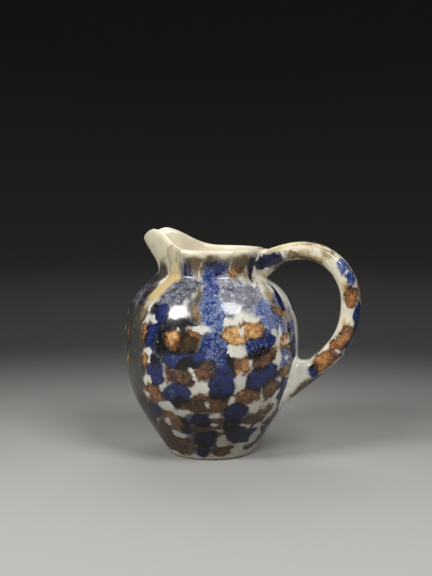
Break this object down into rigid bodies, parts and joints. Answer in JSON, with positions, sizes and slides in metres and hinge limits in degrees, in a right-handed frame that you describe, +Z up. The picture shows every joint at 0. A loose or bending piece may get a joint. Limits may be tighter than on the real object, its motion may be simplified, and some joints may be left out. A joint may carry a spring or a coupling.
{
  "type": "stoneware pitcher",
  "caption": "Hand-thrown stoneware pitcher with a round belly, a pouring lip pulled from the rim and a pulled loop handle, in sponged blue and brown glaze over cream.",
  "frame": {"origin": "centre of the flat foot, on the surface that the pitcher stands on", "axes": "+Z up along the pot's axis, +X towards the handle, so the spout points to -X; the plane y = 0 halves the pitcher"},
  "size_m": [0.1519, 0.112, 0.1439],
  "materials": {
    "sponged_glaze": "glossy cream glaze with daubs of cobalt blue and iron brown, bare clay under the foot",
    "handle_glaze": "glossy cream glaze with a few daubs of cobalt blue and iron brown",
    "joint_slip": "fired clay slip, matte"
  },
  "bodies": {
    "root": {"thrown_body": "sponged_glaze", "pulled_handle": "handle_glaze", "upper_joint_slip": "joint_slip", "lower_joint_slip": "joint_slip"}
  },
  "joints": []
}
